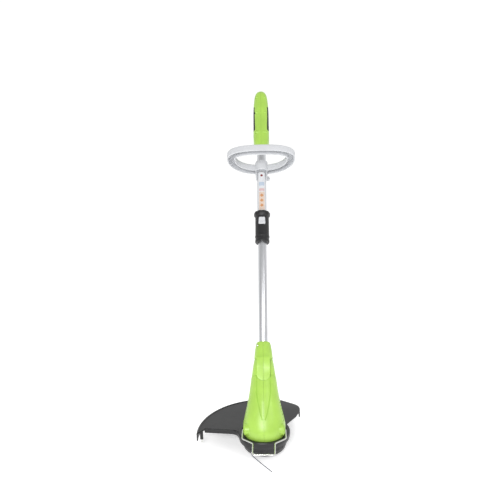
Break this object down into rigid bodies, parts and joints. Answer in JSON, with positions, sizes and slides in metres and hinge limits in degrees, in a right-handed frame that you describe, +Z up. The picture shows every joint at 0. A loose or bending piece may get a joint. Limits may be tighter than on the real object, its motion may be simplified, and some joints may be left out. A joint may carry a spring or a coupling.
{
  "type": "string trimmer",
  "caption": "Corded string trimmer with a telescoping shaft, loop front handle, D-shaped rear handle, tilting motor head, bump-feed line spool, sector guard and wire flower guard.",
  "frame": {"origin": "on the spool axis, at the flat foot of the bump knob", "axes": "+Z up the spool axis, -Y to the front where the flower guard points, +X to the right seen from the front"},
  "size_m": [0.267, 0.7745, 0.8867],
  "materials": {
    "green_plastic": "satin moulded",
    "light_plastic": "fine texture",
    "dark_plastic": "fine texture",
    "black_plastic": "matt",
    "soft_grip": "matt",
    "tube": "satin anodised",
    "steel": "bright",
    "winding": "lacquered copper",
    "line": "smooth"
  },
  "bodies": {
    "handle": {"upper_tube": "tube", "handle_shell_left": "green_plastic", "handle_shell_right": "green_plastic", "grip_inset_left": "soft_grip", "grip_inset_right": "soft_grip", "switch_body": "black_plastic", "inlet_socket": "black_plastic", "inlet_blade_left": "steel", "inlet_blade_right": "steel", "cord_hook": "dark_plastic", "handle_screw_1": "steel", "handle_screw_2": "steel", "handle_screw_3": "steel", "handle_screw_4": "steel", "collet": "light_plastic", "trigger_spring": "steel"},
    "trigger": {"trigger": "dark_plastic"},
    "lock_off": {"lock_off_button": "dark_plastic"},
    "loop": {"loop_handle": "light_plastic", "clamp_jaw": "light_plastic", "clamp_bolt": "steel"},
    "knob": {"clamp_knob": "light_plastic"},
    "collar": {"collar_sleeve": "dark_plastic"},
    "release": {"release_button": "light_plastic"},
    "slider": {"slide_plug": "dark_plastic"},
    "lower_shaft": {"lower_tube": "tube", "neck_shell_left": "green_plastic", "neck_shell_right": "green_plastic", "neck_screw": "steel", "pivot_pin": "steel"},
    "head": {"housing_left": "green_plastic", "housing_right": "green_plastic", "housing_screw_1": "steel", "housing_screw_2": "steel", "motor_can": "steel", "motor_end_cap": "dark_plastic", "lower_bearing": "steel", "upper_bearing": "steel", "guard": "dark_plastic", "guard_screw_1": "steel", "guard_screw_2": "steel", "guard_screw_3": "steel", "line_blade": "steel"},
    "spool_head": {"rotor_shaft": "steel", "rotor": "winding", "cooling_fan": "dark_plastic", "spool_housing": "black_plastic", "spool": "dark_plastic", "line_coil": "line", "eyelet": "steel", "spool_spring": "steel", "cutting_line": "line"},
    "bump": {"bump_knob": "black_plastic"},
    "flower_guard": {"wire_guard": "steel"}
  },
  "joints": [
    {"name": "trigger_pull", "type": "hinge", "parent": "handle", "child": "trigger", "pos_m": [0, 0.56907, 0.83093], "axis": [1, 0, 0], "range_deg": [-7, 0], "stiffness_Nm_per_rad": 0.6, "springref_deg": 5.73, "deforming": ["trigger_spring"]},
    {"name": "lock_off_press", "type": "slide", "parent": "handle", "child": "lock_off", "axis": [1, 0, 0], "range_m": [0, 0.0024], "stiffness_N_per_m": 400, "springref_m": -0.002},
    {"name": "loop_slide", "type": "slide", "parent": "handle", "child": "loop", "axis": [0, 0.5878, 0.809], "range_m": [-0.09, 0.045]},
    {"name": "clamp_knob_turn", "type": "hinge", "parent": "loop", "child": "knob", "pos_m": [0.02, 0.42998, 0.63099], "axis": [1, 0, 0], "continuous": true},
    {"name": "collar_twist", "type": "hinge", "parent": "handle", "child": "collar", "pos_m": [0, 0.28214, 0.46833], "axis": [0, 0.5878, 0.809], "range_deg": [0, 60]},
    {"name": "release_press", "type": "slide", "parent": "collar", "child": "release", "axis": [0, 0.809, -0.5878], "range_m": [0, 0.0013], "stiffness_N_per_m": 500, "springref_m": -0.001},
    {"name": "shaft_extend", "type": "slide", "parent": "handle", "child": "slider", "axis": [0, -0.5878, -0.809], "range_m": [-0.12, 0.05]},
    {"name": "shaft_rotate", "type": "hinge", "parent": "slider", "child": "lower_shaft", "pos_m": [0, 0.38206, 0.60586], "axis": [0, 0.5878, 0.809], "range_deg": [0, 180]},
    {"name": "head_tilt", "type": "hinge", "parent": "lower_shaft", "child": "head", "pos_m": [0, 0.0723, 0.17951], "axis": [1, 0, 0], "range_deg": [0, 30]},
    {"name": "spool_spin", "type": "hinge", "parent": "head", "child": "spool_head", "pos_m": [0, 0, 0.02], "axis": [0, 0, 1], "continuous": true},
    {"name": "bump_feed", "type": "slide", "parent": "spool_head", "child": "bump", "axis": [0, 0, 1], "range_m": [0, 0.004], "stiffness_N_per_m": 800, "springref_m": -0.003, "deforming": ["spool_spring"]},
    {"name": "wire_guard_flip", "type": "hinge", "parent": "head", "child": "flower_guard", "pos_m": [0, -0.024, 0.0685], "axis": [1, 0, 0], "range_deg": [-80, 0]}
  ]
}
